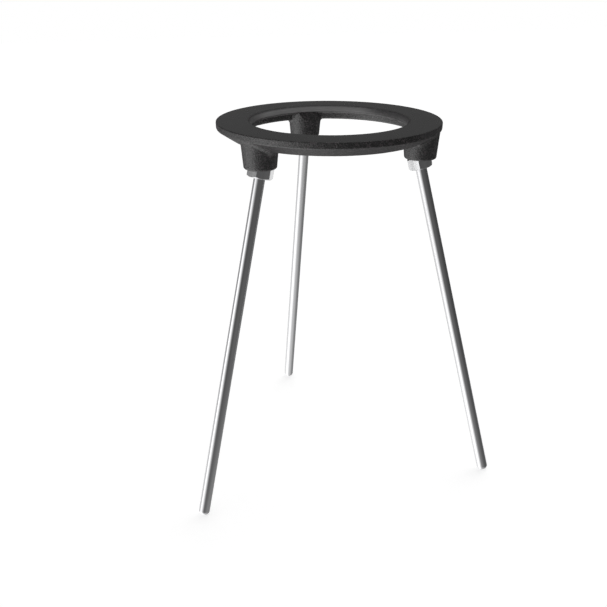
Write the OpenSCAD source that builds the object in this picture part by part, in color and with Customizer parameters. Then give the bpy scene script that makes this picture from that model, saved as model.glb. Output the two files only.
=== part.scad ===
// Laboratory tripod stand: a cast-iron ring on three splayed rod legs.
// Each leg is screwed into a boss under the ring and locked by a nut.
// The origin is on the bench, straight below the centre of the ring. +Z is up.

/* [Stand] */
// Height from the bench to the top face of the ring
stand_h = 215.9; // [160:0.1:300]
// Lean of the legs away from the vertical, in degrees
leg_lean = 14.6; // [10:0.1:18]
// Direction of the left leg seen from above, in degrees
first_leg_angle = -150; // [-180:1:180]

/* [Ring] */
// Outside diameter of the ring
ring_od = 127; // [120:0.5:132]
// Diameter of the hole that a dish or a flask hangs in
ring_bore = 87.6; // [85:0.2:90]
// Depth of the whole ring, from its top face to the bottom of the rib
ring_depth = 8.9; // [8:0.1:10]
// Height of the upright rim round the outside
rim_h = 3.6; // [3.4:0.1:5]
// Thickness of the lip inside the rib
lip_t = 3.7; // [3.4:0.1:4.2]
// Diameter of the inner edge of the rib's bottom
rib_id = 97.6; // [96:0.2:99]
// Diameter of the outer edge of the rib's bottom
rib_od = 110.4; // [106:0.2:114]

/* [Bosses] */
// Diameter of the circle that the bosses stand on
boss_circle = 104.8; // [103:0.1:106]
// Diameter of a boss at its bottom end
boss_d = 17.8; // [16.6:0.1:18.6]
// Depth of the bosses below the top face of the ring
boss_depth = 19.2; // [18.8:0.1:21]
// Draft of the casting pattern on a boss, in degrees
boss_draft = 5.4; // [2:0.1:7]
// Rounding of the bottom edge of a boss
boss_edge = 1.1; // [0.5:0.1:1.3]
// Radius of the fillet where the outer side of a boss runs into the ring
outer_fillet = 4; // [3:0.1:4.4]
// Radius of the fillet round the inner side of a boss
inner_fillet = 2.2; // [2:0.1:2.6]

/* [Legs] */
// Diameter of the leg rods
rod_d = 6.35; // [6:0.05:6.6]
// Rounding of the edge of the foot end
foot_round = 2.2; // [0.5:0.1:3]
// Distance from the stand's axis to where a leg crosses its seat
seat_r = 51.5; // [51:0.1:52]
// Depth of the centre of a leg's seat below the top face of the ring
seat_depth = 18.2; // [17.6:0.1:18.6]
// Length of thread that is screwed into the boss
thread_reach = 11.5; // [9:0.1:12]

/* [Lock nuts] */
// Width of a nut across its flats
nut_af = 12.7; // [12:0.1:13]
// Height of a nut
nut_h = 6.6; // [5.5:0.1:7]
// How far each nut is turned from having a flat outwards, in degrees: left, right, rear
nut_turns = [1, 5, -8]; // [-30:1:30]

/* [Hidden] */

$fn = 96;
left = 0;
right = 1;
rear = 2;
legs = [left, right, rear];

// ring section, measured down from the top face
rim_draft = 0.1;        // how much narrower the rim is at its lower edge
rib_wall_draft = 0.8;   // slope of the rib's inner wall over its height
lip_slope = 0.2;        // how much thicker the lip grows towards the rib
bore_round = 2.4;
rim_round = 0.6;
lip_round = 0.6;
rib_root = 1.2;
rib_round = 1.3;
skirt_round = 1.8;      // the rounding between the rib's bottom and the tapered skirt
rim_break = 0.9;

// bosses
boss_top = 2;           // the bosses start this far below the top face, inside the ring
relief_r = ring_bore / 2 + 0.8;
relief_depth = 9.5;     // below the lip the bosses lean in to their full width down to here
relief_lean = 2.4;

// The fillet round a boss is drawn at stops along its path on each side of the boss's outermost
// point. Turns are in degrees from that point. Its radius steps down along these turns.
fillet_narrows = [75, 105, 120, 126, 138];
fillet_end = 0.4;       // its radius at the last of them
under_rim_turns = [7 : 7 : 105];
climb_start = 0.86;     // in fillet radii below the rib
rib_climb = [0, 0.09, 0.21, 0.38, 0.59, 0.82];  // parts of the way up inside the rib to the lip
corner_swings = [20, 45, 70];                   // degrees from the rib's wall to the lip
under_lip_turns = [5, 10, 14];                  // beyond that corner
fillet_arc_steps = 4;
fillet_bite = 0.05;     // how far its edges run into the boss and the ring, so that they join
fillet_sink = 0.25;     // how much further its edge runs into the ring
fillet_depth = 1;       // how far its hidden back lies inside them

// threads are drawn as plain cylinders of this size, the same on the leg, the nut and the boss
thread_d = rod_d - 0.15;
thread_tip = 0.8;       // chamfer at the top end of the leg
hole_spare = 1;         // full-width hole left beyond the leg's end
drill_point = 118;
seat_d = nut_af / cos(30) + 0.8;
seat_cut = 8;
nut_chamfer = 30;
nut_face_d = 0.93 * nut_af;
nut_sink = 0.5;         // countersink at both ends of a nut's hole
rod_shoulder = 0.1;

cast_black = [0.16, 0.16, 0.17];
plated = [0.80, 0.81, 0.82];

// a corner of an outline: unit directions to the corner before and the corner after
function to_last(p, i) = let (v = p[(i + len(p) - 1) % len(p)] - p[i]) v / norm(v);
function to_next(p, i) = let (v = p[(i + 1) % len(p)] - p[i]) v / norm(v);
function half_angle(p, i) = acos(to_last(p, i) * to_next(p, i)) / 2;
function is_outer(p, i) = cross(to_last(p, i), to_next(p, i)) < 0;
function arc_centre(p, i, r) =
    let (v = to_last(p, i) + to_next(p, i)) p[i] + v / norm(v) * r / sin(half_angle(p, i));
function arc_ends(p, i, r) =
    let (t = r / tan(half_angle(p, i))) [p[i] + to_last(p, i) * t, p[i] + to_next(p, i) * t];

// An outline whose corners are true arcs: corner i of p, listed counter-clockwise, has radius r[i].
module rounded_outline(p, r) {
    corners = [0 : len(p) - 1];
    difference() {
        union() {
            polygon([for (i = corners) each (r[i] > 0 ? arc_ends(p, i, r[i]) : [p[i]])]);
            for (i = corners) if (r[i] > 0 && is_outer(p, i))
                translate(arc_centre(p, i, r[i])) circle(r[i]);
        }
        for (i = corners) if (r[i] > 0 && !is_outer(p, i))
            translate(arc_centre(p, i, r[i])) circle(r[i]);
    }
}

// Section of the ring: a lip, a rib below its outer part, a tapered skirt and an upright rim.
section = [
    [ring_bore / 2, -lip_t],
    [rib_id / 2 - rib_wall_draft, -lip_t - lip_slope],
    [rib_id / 2, -ring_depth],
    [rib_od / 2, -ring_depth],
    [ring_od / 2 - rim_draft, -rim_h],
    [ring_od / 2, 0],
    [ring_bore / 2, 0]];
section_rounds = [lip_round, rib_root, rib_round, skirt_round, rim_break, rim_round, bore_round];

module ring_section() {
    rounded_outline(section, section_rounds);
}

// How far a point outside the ring's section is from its straight edges and its rounded corners.
function edge_gap(q, a, b) =
    let (v = b - a, t = max(0, min(1, (q - a) * v / (v * v)))) norm(q - a - t * v);
function section_gap(q) = min([for (i = [0 : len(section) - 1]) each [
    edge_gap(q, arc_ends(section, i, section_rounds[i])[1],
        arc_ends(section, (i + 1) % len(section), section_rounds[(i + 1) % len(section)])[0]),
    is_outer(section, i)
        ? norm(q - arc_centre(section, i, section_rounds[i])) - section_rounds[i]
        : norm(q - section[i])]]);

// A ball that rolls round a boss touches its wall and the ring; all in the boss's own frame.
function fillet_size(turn) = lookup(abs(turn), [
    [fillet_narrows[0], outer_fillet],
    [fillet_narrows[1], inner_fillet],
    [fillet_narrows[2], rib_root],
    [fillet_narrows[3], rib_root],
    [fillet_narrows[4], fillet_end]]);
function boss_r(z) = boss_d / 2 + (boss_depth + z) * tan(boss_draft);
function ball_at(p) =
    let (r = boss_r(p[1]) + (fillet_size(p[0]) - fillet_bite) / cos(boss_draft))
    [boss_circle / 2 + r * cos(p[0]), r * sin(p[0]), p[1]];
function on_section(p) = [norm([p[0], p[1]]), p[2]];
function is_clear(p) = section_gap(on_section(ball_at(p))) > fillet_size(p[0]) - fillet_bite;

// Where the ball first touches the ring between a clear and a touching [turn, height].
function contact(clear, touching, tries = 22) =
    let (mid = (clear + touching) / 2)
    tries == 0 ? mid
    : is_clear(mid) ? contact(mid, touching, tries - 1) : contact(clear, mid, tries - 1);

function away_from_section(q, d = 0.001) =
    let (v = [section_gap(q + [d, 0]) - section_gap(q - [d, 0]),
        section_gap(q + [0, d]) - section_gap(q - [0, d])]) v / norm(v);

// The ball on its path: its turn, its height and the way it would roll off the ring's section.
function stop_at(p) = [p[0], p[1], away_from_section(on_section(ball_at(p)))];
function stop_under(turn) = stop_at(contact([turn, -boss_depth], [turn, -lip_t]));
function corner_turn(low, high, tries = 16) =
    let (mid = (low + high) / 2)
    tries == 0 ? high
    : stop_under(mid)[1] > -lip_t - lip_slope - 1.1 * rib_root ? corner_turn(low, mid, tries - 1)
    : corner_turn(mid, high, tries - 1);

// The points of the fillet's section at one stop: its arc, then its hidden back.
function fillet_ring(stop) =
    let (turn = stop[0], size = fillet_size(turn), ball = ball_at(stop),
        flat = [ball[0], ball[1]] / norm([ball[0], ball[1]]),
        up = -[flat[0] * stop[2][0], flat[1] * stop[2][0], stop[2][1]],
        wall = -[cos(turn) * cos(boss_draft), sin(turn) * cos(boss_draft), -sin(boss_draft)],
        spread = acos(wall * up))
    [for (k = [0 : fillet_arc_steps - 1]) let (a = spread * k / fillet_arc_steps)
        ball + size * (wall * sin(spread - a) + up * sin(a)) / sin(spread),
     ball + (size + fillet_sink) * up,
     ball + (size + fillet_depth) * (wall + up) / (1 + wall * up)];

module boss_fillet() {
    corner = stop_under(corner_turn(100, 136));
    foot = -ring_depth - climb_start * inner_fillet;
    path = [
        for (turn = under_rim_turns) stop_under(turn),
        for (t = rib_climb) let (z = foot + t * (corner[1] - foot))
            stop_at(contact([150, z], [95, z])),
        for (a = corner_swings) [corner[0], corner[1], [-cos(a), -sin(a)]],
        for (turn = under_lip_turns) stop_under(corner[0] + turn)];
    rings = [
        for (i = [len(path) - 1 : -1 : 0]) fillet_ring([-path[i][0], path[i][1], path[i][2]]),
        fillet_ring(stop_under(0)),
        for (stop = path) fillet_ring(stop)];
    n = len(rings[0]);
    last = len(rings) - 1;
    polyhedron(
        points = [for (r = rings) each r],
        faces = [
            [for (k = [n - 1 : -1 : 0]) k],
            [for (k = [0 : n - 1]) last * n + k],
            for (i = [0 : last - 1], k = [0 : n - 1])
                [i * n + k, i * n + (k + 1) % n, (i + 1) * n + (k + 1) % n, (i + 1) * n + k]]);
}

// A place on leg n: the origin is where the leg crosses its seat, and +Z runs up the leg.
module on_leg(n) {
    rotate([0, 0, first_leg_angle + n * 120])
        translate([seat_r, 0, stand_h - seat_depth])
            rotate([0, -leg_lean, 0]) children();
}

// One boss, with its draft and its rounded bottom edge, hung below the ring's top face.
module boss() {
    top_r = boss_d / 2 + (boss_depth - boss_top) * tan(boss_draft);
    translate([boss_circle / 2, 0, 0]) rotate_extrude()
        rounded_outline(
            [[0, -boss_depth], [boss_d / 2, -boss_depth], [top_r, -boss_top], [0, -boss_top]],
            [0, boss_edge, 0, 0]);
}

// What keeps the bosses clear of the bore: straight behind the lip, then leaning in below it.
module bore_relief() {
    rotate_extrude() polygon(
        [[0, 1], [relief_r, 1], [relief_r, -lip_t],
         [relief_r - relief_lean, -relief_depth], [0, -relief_depth]]);
}

// The seat for a nut and the blind tapped hole above it.
module seat_and_hole() {
    hole_depth = thread_reach + hole_spare;
    translate([0, 0, -seat_cut]) cylinder(h = seat_cut, d = seat_d);
    cylinder(h = hole_depth, d = thread_d);
    translate([0, 0, hole_depth])
        cylinder(h = thread_d / 2 / tan(drill_point / 2), d1 = thread_d, d2 = 0);
}

// The cast ring with its three bosses.
module ring() {
    color(cast_black) difference() {
        translate([0, 0, stand_h]) {
            rotate_extrude() ring_section();
            difference() {
                for (n = legs) rotate([0, 0, first_leg_angle + n * 120]) {
                    boss();
                    boss_fillet();
                }
                bore_relief();
            }
        }
        for (n = legs) on_leg(n) seat_and_hole();
    }
}

// One leg: a rod with a rounded foot that just touches the bench and a threaded, chamfered top.
module leg(n) {
    foot_centre_h = foot_round + (rod_d / 2 - foot_round) * sin(leg_lean);
    foot = -(stand_h - seat_depth - foot_centre_h) / cos(leg_lean) - foot_round;
    thread_end = nut_sink - nut_h;
    color(plated) on_leg(n) rotate_extrude() intersection() {
        rounded_outline(
            [[0, foot],
             [rod_d / 2, foot],
             [rod_d / 2, thread_end - rod_shoulder],
             [thread_d / 2, thread_end],
             [thread_d / 2, thread_reach - thread_tip],
             [thread_d / 2 - thread_tip, thread_reach],
             [0, thread_reach]],
            [0, foot_round, 0, 0, 0, 0, 0]);
        translate([0, foot]) square([rod_d, thread_reach - foot]);
    }
}

// One lock nut, chamfered at both ends, tight against its seat.
module lock_nut(n) {
    corner_r = nut_af / 2 / cos(30);
    chamfer_h = (corner_r - nut_face_d / 2) * tan(nut_chamfer);
    color(plated) on_leg(n) rotate([0, 0, 30 + nut_turns[n]]) difference() {
        intersection() {
            translate([0, 0, -nut_h]) cylinder(h = nut_h, r = corner_r, $fn = 6);
            rotate_extrude() polygon(
                [[0, 0], [nut_face_d / 2, 0], [corner_r, -chamfer_h],
                 [corner_r, chamfer_h - nut_h], [nut_face_d / 2, -nut_h], [0, -nut_h]]);
        }
        rotate_extrude() polygon(
            [[0, 1], [thread_d / 2 + nut_sink + 1, 1], [thread_d / 2, -nut_sink],
             [thread_d / 2, nut_sink - nut_h], [thread_d / 2 + nut_sink + 1, -nut_h - 1],
             [0, -nut_h - 1]]);
    }
}

ring();
leg(left);  // leg_left
leg(right);  // leg_right
leg(rear);  // leg_rear
lock_nut(left);  // lock_nut_left
lock_nut(right);  // lock_nut_right
lock_nut(rear);  // lock_nut_rear
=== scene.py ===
# Laboratory tripod stand: a black cast-iron ring on three splayed, plated rod legs.
import math

import bpy
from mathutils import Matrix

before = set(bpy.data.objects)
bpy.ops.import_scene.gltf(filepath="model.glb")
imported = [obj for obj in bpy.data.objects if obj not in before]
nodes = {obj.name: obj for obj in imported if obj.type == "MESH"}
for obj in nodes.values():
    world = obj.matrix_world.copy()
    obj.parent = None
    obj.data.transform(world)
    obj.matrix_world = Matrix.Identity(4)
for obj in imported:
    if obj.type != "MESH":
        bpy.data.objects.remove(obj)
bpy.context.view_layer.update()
scene = bpy.context.scene
print("frame loaded:", len(nodes), "pieces")


# node trees: wherever a value is asked for, the output of another node may be given instead

def plug(tree, socket, value):
    if isinstance(value, bpy.types.NodeSocket):
        tree.links.new(value, socket)
    else:
        socket.default_value = value


def addNode(tree, kind, sockets=None, **settings):
    node = tree.nodes.new(kind)
    for name, value in settings.items():
        setattr(node, name, value)
    for name, value in (sockets or {}).items():
        plug(tree, node.inputs[name], value)
    return node


def addMath(tree, operation, a, b):
    return addNode(tree, "ShaderNodeMath", {0: a, 1: b}, operation=operation).outputs[0]


def addDot(tree, a, b):
    node = addNode(tree, "ShaderNodeVectorMath", {0: a, 1: b}, operation="DOT_PRODUCT")
    return node.outputs["Value"]


def addMix(tree, kind, factor, a, b, blend="MIX"):
    # kind is FLOAT or RGBA; the Mix node keeps other sockets for each
    first, second, result = {"FLOAT": (2, 3, 0), "RGBA": (6, 7, 2)}[kind]
    node = addNode(tree, "ShaderNodeMix", {"Factor": factor}, data_type=kind, blend_type=blend)
    plug(tree, node.inputs[first], a)
    plug(tree, node.inputs[second], b)
    return node.outputs[result]


def addRange(tree, value, low, high, toLow=0, toHigh=1, smooth=True):
    # goes from toLow to toHigh while value goes from low to high, and stays level outside
    return addNode(tree, "ShaderNodeMapRange", {
        "Value": value, "From Min": low, "From Max": high, "To Min": toLow, "To Max": toHigh,
    }, interpolation_type="SMOOTHSTEP" if smooth else "LINEAR").outputs["Result"]


def addRamp(tree, value, low, high, stops):
    # stops: (value, brightness) pairs between low and high
    ramp = addNode(tree, "ShaderNodeValToRGB", {0: addRange(tree, value, low, high, smooth=False)})
    parts = ramp.color_ramp.elements
    while len(parts) < len(stops):
        parts.new(0.5)
    for part, (place, level) in zip(parts, stops):
        part.position = (place - low) / (high - low)
        part.color = (level, level, level, 1)
    return ramp.outputs["Color"]


def addNoise(tree, place, scale, detail, roughness):
    return addNode(tree, "ShaderNodeTexNoise", {
        "Vector": place, "Scale": scale, "Detail": detail, "Roughness": roughness,
    }).outputs["Fac"]


def addRelief(tree, height, shader):
    # height is in metres
    bump = addNode(tree, "ShaderNodeBump", {"Height": height, "Strength": 1, "Distance": 1})
    tree.links.new(bump.outputs[0], shader["Normal"])


def newGroup(name, inputs, outputs):
    # inputs: {name: (socket type, default)}; each output is a number
    tree = bpy.data.node_groups.new(name, "ShaderNodeTree")
    for socket, (kind, default) in inputs.items():
        made = tree.interface.new_socket(socket, in_out="INPUT", socket_type=kind)
        if default is not None:
            made.default_value = default
    for socket in outputs:
        tree.interface.new_socket(socket, in_out="OUTPUT", socket_type="NodeSocketFloat")
    put = tree.nodes.new("NodeGroupInput").outputs
    out = tree.nodes.new("NodeGroupOutput").inputs
    return tree, put, out


def useGroup(tree, group, sockets):
    node = addNode(tree, "ShaderNodeGroup", node_tree=group)
    for name, value in sockets.items():
        plug(tree, node.inputs[name], value)
    return node.outputs


def newMaterial(name):
    material = bpy.data.materials.new(name)
    material.use_nodes = True
    tree = material.node_tree
    tree.nodes.clear()
    shader = tree.nodes.new("ShaderNodeBsdfPrincipled")
    addNode(tree, "ShaderNodeOutputMaterial", {"Surface": shader.outputs[0]})
    return material, tree, shader.inputs


# cast skin: fine grains over lumps, pits in some of the lumps, pale specks and slow waves

castSkin = {
    "grains": (1, 3, 0.6),  # noise: times the scale of a grain, detail, roughness
    "lumps": (0.35, 2, 0.5),
    "waves": (0.06, 2, 0.5),
    "specks": (0.6, 1, 0.5),
    "lumpShare": 0.3,
    "pitScale": 0.35,
    "pitReach": (0.28, 0.05),  # from its edge to its floor, in cell sizes
    "pittedLumps": (0.5, 0.62),
    "speckReach": (0.48, 0.66),
}


def makeGrain(skin):
    tree, put, out = newGroup("castGrain", {
        "Place": ("NodeSocketVector", None),
        "Grain Size": ("NodeSocketFloat", 0.0008),
        "Pit Share": ("NodeSocketFloat", 0.3),
    }, ("Height", "Pits", "Specks", "Mottle"))
    fine = addMath(tree, "DIVIDE", 1, put["Grain Size"])
    grains, lumps, waves, specks = [
        addNoise(tree, put["Place"], addMath(tree, "MULTIPLY", fine, times), detail, roughness)
        for times, detail, roughness in [skin[part] for part in
                                         ("grains", "lumps", "waves", "specks")]]
    cells = addNode(tree, "ShaderNodeTexVoronoi", {
        "Vector": put["Place"], "Scale": addMath(tree, "MULTIPLY", fine, skin["pitScale"]),
    }, feature="F1").outputs["Distance"]
    pits = addMath(tree, "MULTIPLY", addRange(tree, cells, *skin["pitReach"]),
                   addRange(tree, lumps, *skin["pittedLumps"]))
    height = addMath(tree, "ADD", grains, addMath(tree, "MULTIPLY", lumps, skin["lumpShare"]))
    height = addMath(tree, "SUBTRACT", height, addMath(tree, "MULTIPLY", pits, put["Pit Share"]))
    tree.links.new(height, out["Height"])
    tree.links.new(pits, out["Pits"])
    tree.links.new(addRange(tree, specks, *skin["speckReach"]), out["Specks"])
    tree.links.new(waves, out["Mottle"])
    return tree


# drawn lines along a bar; Place comes in already stretched along them

drawnSkin = {
    "lines": (1, 4, 0.65),  # noise: times the scale of a line, detail, roughness
    "bands": (0.2, 2, 0.5),
}


def makeStreaks(skin):
    tree, put, out = newGroup("drawnStreaks", {
        "Place": ("NodeSocketVector", None),
        "Line Size": ("NodeSocketFloat", 0.0004),
    }, ("Height", "Tone"))
    fine = addMath(tree, "DIVIDE", 1, put["Line Size"])
    for part, output in (("lines", "Height"), ("bands", "Tone")):
        times, detail, roughness = skin[part]
        scale = addMath(tree, "MULTIPLY", fine, times)
        tree.links.new(addNoise(tree, put["Place"], scale, detail, roughness), out[output])
    return tree


castGrain = makeGrain(castSkin)
drawnStreaks = makeStreaks(drawnSkin)
print("shared effects made")


# ring: satin black over the cast skin, smooth on the ground top face, painted paler on the lip to
# stand in for the band of light on it, with painted shade at its ends

ringFinish = {
    "black": (0.0085, 0.0076, 0.0081, 1),
    "worn": (0.014, 0.0136, 0.0138, 1),
    "wornMottle": (0.35, 0.7),
    "specks": (0.062, 0.051, 0.056, 1),
    # the lip's pale grey is painted light, standing in for the band of light on it
    "lip": (0.34, 0.336, 0.338, 1),
    "lipRadius": (0.044, 0.0451),  # the lip ends between these two
    "lipHeight": (0.2123, 0.2128),  # and starts between these heights above the bench
    "lipShadeWay": (0.9668, -0.2554, 0),  # painted shade darkens the lip towards both ends of this line
    "lipShadeNear": (-0.046, -0.034),
    "lipShadeFar": (0.018, 0.033),
    "lipShadeLeaves": 0.2,
    "ior": 1.7,
    "topFacing": (0.9, 0.99),  # how far a face looks up before it counts as ground
    "topRoughness": 0.25,
    "lipRoughness": 0.6,
    "sideRoughness": 0.16,
    "edgeRoughness": 0.7,  # the cast skin loses its shine at a glancing look
    "glancing": (0.3, 0.8),
    "pitRoughness": 0.2,
    "grainSize": 0.00075,
    "pitShare": 0.8,
    "topRelief": 0.000012,
    "sideRelief": 0.0003,
}


def castIronBlack(finish):
    material, tree, shader = newMaterial("castIronBlack")
    place = addNode(tree, "ShaderNodeTexCoord").outputs
    skin = useGroup(tree, castGrain, {
        "Place": place["Object"], "Grain Size": finish["grainSize"],
        "Pit Share": finish["pitShare"]})

    # where the ground top, the lip and the painted shade on it are
    facing = addNode(tree, "ShaderNodeSeparateXYZ", {0: place["Normal"]}).outputs["Z"]
    top = addRange(tree, facing, *finish["topFacing"])
    across = addNode(tree, "ShaderNodeVectorMath", {0: place["Object"], 1: (1, 1, 0)},
                     operation="MULTIPLY").outputs[0]
    radius = addNode(tree, "ShaderNodeVectorMath", {0: across},
                     operation="LENGTH").outputs["Value"]
    height = addNode(tree, "ShaderNodeSeparateXYZ", {0: place["Object"]}).outputs["Z"]
    lip = addMath(tree, "MULTIPLY", addRange(tree, radius, *finish["lipRadius"], 1, 0),
                  addRange(tree, height, *finish["lipHeight"]))
    # painted shade: the pale lip is darkened towards both ends of the line across it
    aside = addDot(tree, across, finish["lipShadeWay"])
    unshadedLip = addMath(tree, "MINIMUM",
                    addRange(tree, aside, *finish["lipShadeNear"], finish["lipShadeLeaves"], 1),
                    addRange(tree, aside, *finish["lipShadeFar"], 1, finish["lipShadeLeaves"]))

    colour = addMix(tree, "RGBA", addRange(tree, skin["Mottle"], *finish["wornMottle"]),
                    finish["black"], finish["worn"])
    cast = addMath(tree, "SUBTRACT", 1, top)
    colour = addMix(tree, "RGBA", addMath(tree, "MULTIPLY", skin["Specks"], cast),
                    colour, finish["specks"])
    # painted light: the lip is painted pale grey for the light on it, and painted shade darkens it
    # towards its ends
    colour = addMix(tree, "RGBA", addMath(tree, "MULTIPLY", lip, unshadedLip), colour, finish["lip"])

    smooth = addMath(tree, "MAXIMUM", top, lip)
    look = addNode(tree, "ShaderNodeLayerWeight", {"Blend": 0.5}).outputs["Facing"]
    side = addMix(tree, "FLOAT", addRange(tree, look, *finish["glancing"]),
                  finish["sideRoughness"], finish["edgeRoughness"])
    flat = addMix(tree, "FLOAT", lip, finish["topRoughness"], finish["lipRoughness"])
    rough = addMix(tree, "FLOAT", smooth, side, flat)
    rough = addMath(tree, "ADD", rough,
                    addMath(tree, "MULTIPLY", skin["Pits"], finish["pitRoughness"]))

    relief = addMix(tree, "FLOAT", smooth, finish["sideRelief"], finish["topRelief"])
    tree.links.new(colour, shader["Base Color"])
    tree.links.new(rough, shader["Roughness"])
    shader["IOR"].default_value = finish["ior"]
    addRelief(tree, addMath(tree, "MULTIPLY", skin["Height"], relief), shader)
    return material


nodes["ring"].data.materials[0] = castIronBlack(ringFinish)


# legs and lock nuts: bright plating over drawn bar

legTurns = {"left": -150, "right": -30, "rear": 90}  # degrees, seen from above
legLean = 14.6

legPlating = {
    "bright": (0.7, 0.7, 0.71, 1),
    "dull": (0.6, 0.6, 0.61, 1),
    "dullTone": (0.4, 0.7),
    "roughness": 0.1,
    "roughnessSpread": (0.8, 1.4),  # times the roughness, from the crests to the dips
    "crestToDip": (0.3, 0.7),
    "lineSize": 0.0005,
    "lineStretch": 0.02,
    "relief": 0.000004,
}

nutPlating = {
    "bright": (0.76, 0.76, 0.765, 1),
    "dull": (0.68, 0.68, 0.69, 1),
    "dullTone": (0.4, 0.7),
    "roughness": 0.14,
    "roughnessSpread": (0.8, 1.4),
    "crestToDip": (0.3, 0.7),
    "lineSize": 0.0005,
    "lineStretch": 0.02,
    "relief": 0.000001,
}


def platedSteel(name, finish, turn):
    # the lines run down the leg that stands at this turn
    material, tree, shader = newMaterial(name)
    place = addNode(tree, "ShaderNodeTexCoord").outputs["Object"]
    for setting, amount in (("Rotation", (0, 0, -math.radians(turn))),
                            ("Rotation", (0, math.radians(legLean), 0)),
                            ("Scale", (1, 1, finish["lineStretch"]))):
        place = addNode(tree, "ShaderNodeMapping", {"Vector": place, setting: amount}).outputs[0]
    lines = useGroup(tree, drawnStreaks, {"Place": place, "Line Size": finish["lineSize"]})
    colour = addMix(tree, "RGBA", addRange(tree, lines["Tone"], *finish["dullTone"]),
                    finish["bright"], finish["dull"])
    rough = addRange(tree, lines["Height"], *finish["crestToDip"],
                     *[finish["roughness"] * times for times in finish["roughnessSpread"]],
                     smooth=False)
    tree.links.new(colour, shader["Base Color"])
    tree.links.new(rough, shader["Roughness"])
    shader["Metallic"].default_value = 1
    addRelief(tree, addMath(tree, "MULTIPLY", lines["Height"], finish["relief"]), shader)
    return material


for side, turn in legTurns.items():
    nodes["leg_" + side].data.materials[0] = platedSteel("platedRod." + side, legPlating, turn)
    nodes["lock_nut_" + side].data.materials[0] = platedSteel("platedNut." + side, nutPlating,
                                                              turn)
print("materials made:", len(bpy.data.materials))


# studio: a lit backdrop behind, a tall soft window on the left, a softbox overhead and a dim room
# in front. Turns are degrees to the left of the way from the stand to the camera, and levels run
# from -1 straight down to 1 straight up.

studio = {
    "front": (-0.2554, -0.9668, 0),
    "left": (-0.9668, 0.2554, 0),
    "dim": ((-1, 0.8), (-0.82, 0.76), (-0.72, 0.56), (-0.6, 0.43), (-0.5, 0.32),
            (-0.35, 0.2), (-0.15, 0.14), (0.02, 0.112)),  # the room by level
    "around": ((-180, 0.75), (-160, 0.48), (-145, 0.2), (-125, 0.3), (-100, 0.5), (-70, 0.72),
               (-30, 1), (100, 1), (125, 1), (150, 1.4), (180, 0.75)),  # and by turn
    "sides": ((-180, 0), (-135, 0.2), (-95, 0.03), (-75, 0), (80, 0), (105, 0.7), (135, 0.7),
              (180, 0)),
    "sidesFade": (-0.36, -0.16, 1, 0.42),  # two levels, and the strength at each
    "backdrop": 1,
    "backdropEdge": (-0.76, -0.86),  # -1 is straight away from the camera
    "backdropFoot": (-0.42, -0.32),
    "backdropTop": (-0.3, -0.18),
    "upper": 0.145,
    "upperRise": (0.04, 0.16),
    "window": 1.7,
    "windowRise": (-0.8, 0),  # the window leans: each pair of turns holds at these two levels
    "windowNear": (-15, 11),
    "windowFull": (68, 78),
    "windowFar": (100, 85),
    "windowEdge": 8,
    "windowTop": (0.1, 0.3),
    "softbox": 0.7,
    "softboxEdge": (0.6, 0.95),
    "fillAround": ((-180, 1.1), (-140, 1.4), (-100, 0.5), (-60, 0.1), (-20, 0.15), (15, 0.42),
                   (80, 0.45), (130, 0.4), (180, 1.1)),  # soft light on unpolished faces
    "fillRise": ((-1, 0.9), (0, 0.7), (1, 0.9)),
    "white": 1,  # what the camera sees behind the stand
}


def addGray(tree, factor, shade, level):
    return addMix(tree, "RGBA", factor, shade, (level, level, level, 1))


def addByTurn(tree, turn, stops):
    return addRamp(tree, turn, -180, 180, stops)


def addByLevel(tree, level, stops):
    return addRamp(tree, level, -1, 1, stops)


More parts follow.
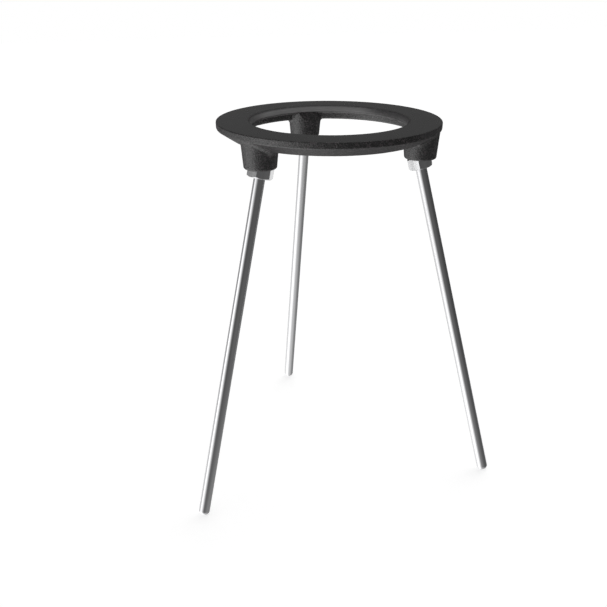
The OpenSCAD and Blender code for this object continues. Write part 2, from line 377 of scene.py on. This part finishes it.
def makeStudio(light):
    world = bpy.data.worlds.new("studio")
    scene.world = world
    world.use_nodes = True
    tree = world.node_tree
    tree.nodes.clear()
    ray = addNode(tree, "ShaderNodeTexCoord").outputs["Generated"]
    level = addNode(tree, "ShaderNodeSeparateXYZ", {0: ray}).outputs["Z"]
    ahead, aside = [addDot(tree, ray, light[way]) for way in ("front", "left")]
    turn = addMath(tree, "MULTIPLY", addMath(tree, "ARCTAN2", aside, ahead), 180 / math.pi)

    # the dim room, its bright sides, the wall above and the backdrop
    shade = addMix(tree, "RGBA", 1, addByLevel(tree, level, light["dim"]),
                   addByTurn(tree, turn, light["around"]), blend="MULTIPLY")
    shade = addMix(tree, "RGBA", addRange(tree, level, *light["sidesFade"]), shade,
                   addByTurn(tree, turn, light["sides"]), blend="ADD")
    shade = addGray(tree, addRange(tree, level, *light["upperRise"]), shade, light["upper"])
    behind = addMath(tree, "MULTIPLY", addRange(tree, ahead, *light["backdropEdge"]),
                     addRange(tree, level, *light["backdropFoot"]))
    behind = addMath(tree, "MULTIPLY", behind,
                     addRange(tree, level, *light["backdropTop"], 1, 0))
    shade = addGray(tree, behind, shade, light["backdrop"])

    # the window leans a little, and the softbox is over everything
    rise = addRange(tree, level, *light["windowRise"], smooth=False)
    near, full, far = [addMix(tree, "FLOAT", rise, *light[edge])
                       for edge in ("windowNear", "windowFull", "windowFar")]
    soft = light["windowEdge"]
    pane = addMath(tree, "MULTIPLY", addRange(tree, turn, near, full),
                   addRange(tree, addMath(tree, "SUBTRACT", far, turn), -soft, soft))
    pane = addMath(tree, "MULTIPLY", pane, addRange(tree, level, *light["windowTop"], 1, 0))
    shade = addGray(tree, pane, shade, light["window"])
    shade = addGray(tree, addRange(tree, level, *light["softboxEdge"]), shade, light["softbox"])

    # unpolished faces get the plain fill, and the camera sees white
    fill = addMix(tree, "RGBA", 1, addByTurn(tree, turn, light["fillAround"]),
                  addByLevel(tree, level, light["fillRise"]), blend="MULTIPLY")
    kind = addNode(tree, "ShaderNodeLightPath").outputs
    shade = addMix(tree, "RGBA", kind["Is Diffuse Ray"], shade, fill)
    plain = addMath(tree, "MAXIMUM", kind["Is Camera Ray"], kind["Is Transmission Ray"])
    plain = addMath(tree, "MAXIMUM", plain,
                    addMath(tree, "MULTIPLY", kind["Is Glossy Ray"], behind))
    shade = addGray(tree, plain, shade, light["white"])
    sky = addNode(tree, "ShaderNodeBackground", {"Color": shade})
    addNode(tree, "ShaderNodeOutputWorld", {"Surface": sky.outputs[0]})


makeStudio(studio)
print("studio made")


# floor: plain and pale, glowing for the camera alone so that it meets the white behind

floorFinish = {
    "colour": (0.8, 0.8, 0.8, 1),
    "roughness": 0.9,
    "glow": 0.66,
    "size": 6,
}


def makeFloor(finish):
    mesh = bpy.data.meshes.new("floor")
    half = finish["size"] / 2
    corners = [(-half, -half, 0), (half, -half, 0), (half, half, 0), (-half, half, 0)]
    mesh.from_pydata(corners, [], [(0, 1, 2, 3)])
    floor = bpy.data.objects.new("floor", mesh)
    scene.collection.objects.link(floor)
    material, tree, shader = newMaterial("paleFloor")
    shader["Base Color"].default_value = finish["colour"]
    shader["Roughness"].default_value = finish["roughness"]
    shader["Specular IOR Level"].default_value = 0
    shader["Emission Color"].default_value = (1, 1, 1, 1)
    kind = addNode(tree, "ShaderNodeLightPath").outputs
    glow = addMath(tree, "MULTIPLY", kind["Is Camera Ray"], finish["glow"])
    tree.links.new(glow, shader["Emission Strength"])
    mesh.materials.append(material)
    floor.visible_glossy = False  # the plating shows the studio itself


makeFloor(floorFinish)
print("floor made")


# camera

view = {
    "place": (-0.131, -0.4396, 0.2987),
    "turn": 75.17,
    "tilt": -23.13,
    "roll": 0.1,
    "lens": 47.85,
    "sensor": 36,
    "nearest": 0.01,
}


def makeCamera(look):
    camera = bpy.data.cameras.new("camera")
    camera.lens = look["lens"]
    camera.sensor_width = look["sensor"]
    camera.clip_start = look["nearest"]
    holder = bpy.data.objects.new("camera", camera)
    scene.collection.objects.link(holder)
    holder.location = look["place"]
    holder.rotation_euler = [math.radians(angle) for angle in
                             (90 + look["tilt"], look["roll"], look["turn"] - 90)]
    scene.camera = holder


makeCamera(view)
scene.view_settings.view_transform = "Standard"
print("camera set")
